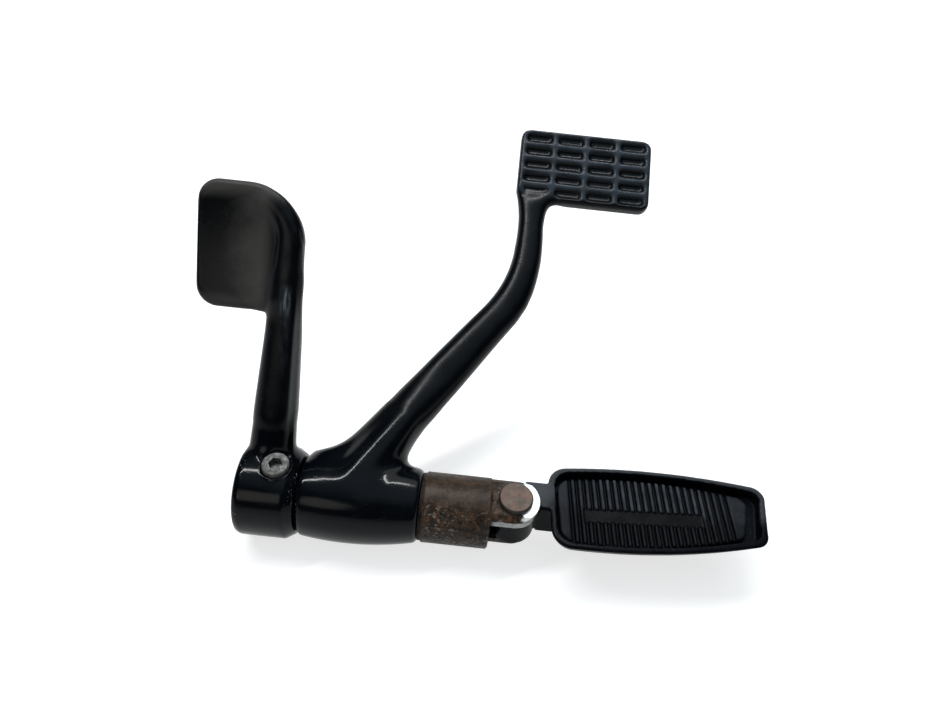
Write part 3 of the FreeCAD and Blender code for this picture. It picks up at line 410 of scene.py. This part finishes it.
def dull_steel():
    """Stained grey steel of the screws, clip, washers and ring."""
    shader = Shader("dull_grey_steel")
    stain = shader.ramp(shader.noise(340.0, 5.0, 0.65), 0.36, 0.66)
    dirt = shader.ramp(shader.noise(700.0, 4.0, 0.6, seed=3.0), 0.52, 0.64)
    colour = shader.blend(stain, STEEL_STAINED, STEEL_PALE)
    colour = shader.blend(shader.times(dirt, 0.7), colour, STEEL_DIRT)
    shader.feed("Base Color", colour)
    shader.feed("Roughness", shader.ramp(stain, 0.0, 1.0, 0.6, 0.42))
    shader.set(Metallic=0.35)
    shader.bump(shader.noise(900.0, 4.0), 0.35, 0.3 * MM)
    return shader.material


def oily_washer():
    """The dark washer between the toe hub and the barrel."""
    shader = Shader("oily_dark_washer")
    film = shader.ramp(shader.noise(300.0, 5.0, 0.6), 0.36, 0.7)
    shader.feed("Base Color", shader.blend(film, OIL_BLACK, OIL_BROWN))
    shader.set(Roughness=0.5, Specular_IOR_Level=0.05)
    shader.bump(shader.noise(900.0, 3.0), 0.2, 0.2 * MM)
    return shader.material


def bronze():
    shader = Shader("oiled_bronze")
    shader.feed("Base Color", shader.blend(shader.noise(400.0, 4.0), BRONZE_DARK, BRONZE_PALE))
    shader.set(Metallic=1.0, Roughness=0.4)
    shader.bump(shader.noise(1200.0, 3.0), 0.2, 0.2 * MM)
    return shader.material


def peg_rubber():
    """Satin rubber: worn on the far ribs, with painted shade on the near ones and in the grooves, and dark at
    both ends.
    """
    shader = Shader("satin_rubber")
    x = shader.axis("X")
    wear = shader.ramp(shader.noise(120.0, 5.0, 0.6), 0.35, 0.7)
    near_shade = shader.between(shader.add(shader.axis("Y"), shader.times(wear, 4.0 * MM)), 11.0, 0.0)
    root = shader.between(x, PIN_X + 52.0, PIN_X + 24.0, 0.0, 0.6)
    tip = shader.between(x, PIN_X + 92.0, PIN_X + 106.0, 0.0, 0.6)
    colour = shader.blend(wear, RUBBER_DARK, RUBBER_WORN)
    # Painted shade: darker towards the near ribs
    colour = shader.blend(shader.times(near_shade, 0.9), colour, RUBBER_NEAR_SHADE)
    colour = shader.blend(shader.most(root, tip), colour, RUBBER_ENDS)
    # Painted shade in the grooves, below the rib tops
    colour = shader.blend(shader.between(shader.axis("Z"), 8.85, 8.2), colour, RUBBER_GROOVE_SHADE)
    shader.feed("Base Color", colour)
    shader.feed("Roughness", shader.ramp(wear, 0.0, 1.0, 0.42, 0.55))
    shader.set(Specular_IOR_Level=0.06)
    shader.bump(shader.noise(1500.0, 3.0), 0.15, 0.2 * MM)
    return shader.material


def peg_casting():
    """Satin black, with a painted highlight along the far rim, and paler on top of the neck."""
    shader = Shader("satin_black_casting")
    wear = shader.ramp(shader.noise(90.0, 5.0, 0.6), 0.4, 0.75)
    grit = shader.ramp(shader.noise(700.0, 4.0, 0.6, seed=5.0), 0.58, 0.7)
    rim_top = shader.between(shader.axis("Z"), 9.5, 11.5)
    far_side = shader.between(shader.axis("Y"), 0.0, 9.0)
    rim = shader.times(rim_top, shader.ramp(shader.facing("Y"), -0.3, 0.35), far_side)
    by_pin = shader.between(shader.axis("X"), PIN_X + 20.0, PIN_X + 14.0)
    neck = shader.times(by_pin, shader.ramp(shader.facing("Z"), 0.8, 0.95))
    colour = shader.blend(wear, CASTING_DARK, CASTING_WORN)
    # Painted highlight along the far rim
    colour = shader.blend(shader.times(rim, 0.9), colour, CASTING_RIM_HIGHLIGHT)
    colour = shader.blend(shader.times(neck, 0.6), colour, CASTING_NECK)
    colour = shader.blend(shader.times(grit, 0.25), colour, CASTING_GRIT)
    shader.feed("Base Color", colour)
    shader.feed("Roughness", shader.ramp(wear, 0.0, 1.0, 0.26, 0.42))
    shader.set(Specular_IOR_Level=0.03)
    shader.bump(shader.noise(700.0, 4.0), 0.16, 0.3 * MM)
    return shader.material


def paint_parts():
    steel = dull_steel()
    black = black_paint()
    bush = bronze()
    looks = {
        "support_shaft": rusty_steel(),
        "hinge_pin": pin_rust(),
        "footpeg_rubber": peg_rubber(),
        "footpeg": peg_casting(),
        "thrust_washer": oily_washer(),
        "toe_pedal": black,
        "heel_lever": black,
        "outer_bush": bush,
        "inner_bush": bush,
    }
    for name, node in nodes.items():
        node.data.materials.clear()
        node.data.materials.append(looks.get(name, steel))


class Former:
    """A modifier that forms one piece's mesh, built from small named steps."""

    def __init__(self, piece, name):
        self.group = bpy.data.node_groups.new(name, "GeometryNodeTree")
        for way in ("INPUT", "OUTPUT"):
            self.group.interface.new_socket("Geometry", in_out=way, socket_type="NodeSocketGeometry")
        self.mesh = self.new("NodeGroupInput").outputs[0]
        piece.modifiers.new(name, "NODES").node_group = self.group

    def new(self, kind, **values):
        node = self.group.nodes.new(kind)
        for name, value in values.items():
            node.inputs[name.replace("_", " ")].default_value = value
        return node

    def link(self, output, socket):
        self.group.links.new(output, socket)

    def finish(self, output):
        self.link(output, self.new("NodeGroupOutput").inputs[0])

    def vector(self, operation, first, second, output="Vector"):
        node = self.new("ShaderNodeVectorMath")
        node.operation = operation
        for socket, value in zip(node.inputs, (first, second)):
            if isinstance(value, Vector):
                socket.default_value = value
            else:
                self.link(value, socket)
        return node.outputs[output]

    def scaled(self, vector, factor):
        node = self.new("ShaderNodeVectorMath")
        node.operation = "SCALE"
        if isinstance(vector, Vector):
            node.inputs[0].default_value = vector
        else:
            self.link(vector, node.inputs[0])
        self.link(factor, node.inputs["Scale"])
        return node.outputs["Vector"]

    def weight(self, position, start, end, reach):
        """One near the line from start to end, zero at the reach."""
        run = end - start
        share = self.vector("SUBTRACT", position, start)
        share = self.vector("DOT_PRODUCT", share, run / run.length_squared, "Value")
        clamp = self.new("ShaderNodeClamp")
        self.link(share, clamp.inputs["Value"])
        nearest = self.vector("ADD", self.scaled(run, clamp.outputs["Result"]), start)
        fade = self.new("ShaderNodeMapRange", From_Min=reach, From_Max=reach * FILLET_CORE)
        fade.interpolation_type = "SMOOTHSTEP"
        self.link(self.vector("DISTANCE", position, nearest, "Value"), fade.inputs["Value"])
        return fade.outputs["Result"]

    def evened(self, position, weight, passes):
        """Positions averaged with their neighbours, as far as the weight lets them."""
        blur = self.new("GeometryNodeBlurAttribute", Iterations=passes)
        blur.data_type = "FLOAT_VECTOR"
        self.link(position, next(s for s in blur.inputs if s.name == "Value" and s.type == "VECTOR"))
        self.link(weight, blur.inputs["Weight"])
        return next(s for s in blur.outputs if s.type == "VECTOR")

    def outward(self, weight, depth):
        """A step along the surface's normal."""
        amount = self.new("ShaderNodeMath")
        amount.operation = "MULTIPLY"
        amount.inputs[1].default_value = depth
        self.link(weight, amount.inputs[0])
        return self.scaled(self.new("GeometryNodeInputNormal").outputs[0], amount.outputs["Value"])


def swell_arm_root(piece):
    """Lets the toe arm grow out of its hub with a thick root, as the casting does."""
    former = Former(piece, "arm_root")
    run = (ARM_ROOT_END - ARM_ROOT_START) * MM
    along = run.normalized()
    front = Vector(OFF_TOE)
    bottom, top = ARM_ROOT_HALVES
    cone = former.new("GeometryNodeMeshCone", Vertices=ARM_ROOT_SIDES, Radius_Bottom=bottom * MM,
                      Radius_Top=top * MM, Depth=run.length)
    turn = Matrix((front.cross(along), front, along)).transposed().to_euler()
    place = former.new("GeometryNodeTransform", Translation=ARM_ROOT_START * MM, Rotation=turn,
                       Scale=(ARM_ROOT_WIDTH_SHARE, 1.0, 1.0))
    join = former.new("GeometryNodeJoinGeometry")
    former.link(cone.outputs["Mesh"], place.inputs["Geometry"])
    former.link(place.outputs["Geometry"], join.inputs["Geometry"])
    former.link(former.mesh, join.inputs["Geometry"])
    former.finish(join.outputs["Geometry"])


def even_out(piece, fillet):
    """Evens out a casting's surface along a line through it, fading with distance, as in a mould."""
    former = Former(piece, "fillet")
    position = former.new("GeometryNodeInputPosition").outputs[0]
    weight = former.weight(position, Vector(fillet.start) * MM, Vector(fillet.end) * MM, fillet.reach * MM)
    place = former.new("GeometryNodeSetPosition")
    former.link(former.mesh, place.inputs["Geometry"])
    former.link(former.evened(position, weight, fillet.passes), place.inputs["Position"])
    former.link(former.outward(weight, fillet.metal * MM), place.inputs["Offset"])
    former.finish(place.outputs["Geometry"])


def soften_castings():
    """Gives each casting and the moulded rubber the rounded edges and fillets of their moulds."""
    swell_arm_root(nodes["toe_pedal"])
    for name, casting in CASTINGS.items():
        piece = nodes[name]
        mould = piece.modifiers.new("mould", "REMESH")
        mould.mode = "VOXEL"
        mould.voxel_size = casting.voxel * MM
        mould.use_smooth_shade = True
        for fillet in FILLETS:
            if fillet.casting == name:
                even_out(piece, fillet)
        fettle = piece.modifiers.new("fettle", "SMOOTH")
        fettle.factor = FETTLE_FACTOR
        fettle.iterations = casting.passes


def add_camera():
    data = bpy.data.cameras.new("camera")
    data.lens = CAMERA_LENS
    data.sensor_width = SENSOR_WIDTH
    data.clip_start = CAMERA_CLIP_START
    camera = bpy.data.objects.new("camera", data)
    forward = CAMERA_FORWARD.normalized()
    level = Vector((1.0, 0.0, 0.0))
    up = level.cross(forward)
    right = level * math.cos(CAMERA_ROLL) + up * math.sin(CAMERA_ROLL)
    up = right.cross(forward)
    turn = Matrix((right, up, -forward)).transposed()
    camera.matrix_world = Matrix.Translation(CAMERA_PLACE) @ turn.to_4x4()
    bpy.context.scene.collection.objects.link(camera)
    bpy.context.scene.camera = camera


def world_glow(tree, direction, glow):
    """Light from one side of the studio, fading with the angle from it."""
    facing = tree.nodes.new("ShaderNodeVectorMath")
    facing.operation = "DOT_PRODUCT"
    facing.inputs[1].default_value = Vector(glow.towards).normalized()
    tree.links.new(direction, facing.inputs[0])
    fade = tree.nodes.new("ShaderNodeMapRange")
    fade.interpolation_type = "SMOOTHSTEP"
    fade.inputs["From Min"].default_value = glow.start
    fade.inputs["From Max"].default_value = glow.full
    fade.inputs["To Max"].default_value = glow.strength
    tree.links.new(facing.outputs["Value"], fade.inputs["Value"])
    light = tree.nodes.new("ShaderNodeBackground")
    light.inputs["Color"].default_value = glow.colour + (1.0,)
    tree.links.new(fade.outputs["Result"], light.inputs["Strength"])
    return light.outputs["Background"]


def add_world():
    """A dim studio, white at the horizon, with a soft cool ceiling and a soft warm wall in front."""
    world = bpy.data.worlds.new("studio")
    world.use_nodes = True
    tree = world.node_tree
    direction = tree.nodes.new("ShaderNodeTexCoord").outputs["Generated"]
    total, *others = [world_glow(tree, direction, glow) for glow in WORLD_GLOWS]
    for light in others:
        both = tree.nodes.new("ShaderNodeAddShader")
        tree.links.new(total, both.inputs[0])
        tree.links.new(light, both.inputs[1])
        total = both.outputs[0]
    tree.links.new(total, tree.nodes["World Output"].inputs["Surface"])
    bpy.context.scene.world = world


def seen_ray(tree):
    """One for rays that show the background: straight to the camera, mirrored, or through glass."""
    path = tree.nodes.new("ShaderNodeLightPath")
    total = path.outputs["Is Camera Ray"]
    for name in ("Is Glossy Ray", "Is Transmission Ray"):
        either = tree.nodes.new("ShaderNodeMath")
        either.operation = "MAXIMUM"
        tree.links.new(total, either.inputs[0])
        tree.links.new(path.outputs[name], either.inputs[1])
        total = either.outputs["Value"]
    return total


def add_floor():
    bpy.ops.mesh.primitive_plane_add(size=FLOOR_SIZE, location=(FLOOR_X, 0.0, FLOOR_Z * MM))
    floor = bpy.context.object
    floor.name = "floor"
    material = bpy.data.materials.new("pale_floor")
    material.use_nodes = True
    tree = material.node_tree
    bsdf = tree.nodes["Principled BSDF"]
    bsdf.inputs["Base Color"].default_value = (FLOOR_GREY, FLOOR_GREY, FLOOR_GREY, 1.0)
    bsdf.inputs["Roughness"].default_value = FLOOR_ROUGHNESS
    bsdf.inputs["Emission Color"].default_value = (1.0, 1.0, 1.0, 1.0)
    glow = tree.nodes.new("ShaderNodeMath")
    glow.operation = "MULTIPLY"
    glow.inputs[1].default_value = FLOOR_GLOW
    tree.links.new(seen_ray(tree), glow.inputs[0])
    tree.links.new(glow.outputs["Value"], bsdf.inputs["Emission Strength"])
    floor.data.materials.append(material)


def add_lamp(lamp):
    """An area lamp that faces the part; its width lies along a direction."""
    data = bpy.data.lights.new(lamp.name, "AREA")
    data.shape = "RECTANGLE"
    data.size = lamp.width
    data.size_y = lamp.height
    data.energy = lamp.power
    light = bpy.data.objects.new(lamp.name, data)
    place = Vector(lamp.place)
    back = place.normalized()
    across = back.cross(Vector(lamp.along)).normalized()
    turn = Matrix((across.cross(back), across, back)).transposed()
    light.matrix_world = Matrix.Translation(LAMP_TARGET + place) @ turn.to_4x4()
    bpy.context.scene.collection.objects.link(light)


def add_lights():
    """A strip lamp almost overhead gives the crisp line along the hubs; a broad one fills in."""
    for lamp in LAMPS:
        add_lamp(lamp)


paint_parts()
soften_castings()
add_camera()
add_world()
add_floor()
add_lights()
bpy.context.scene.view_settings.view_transform = "Standard"
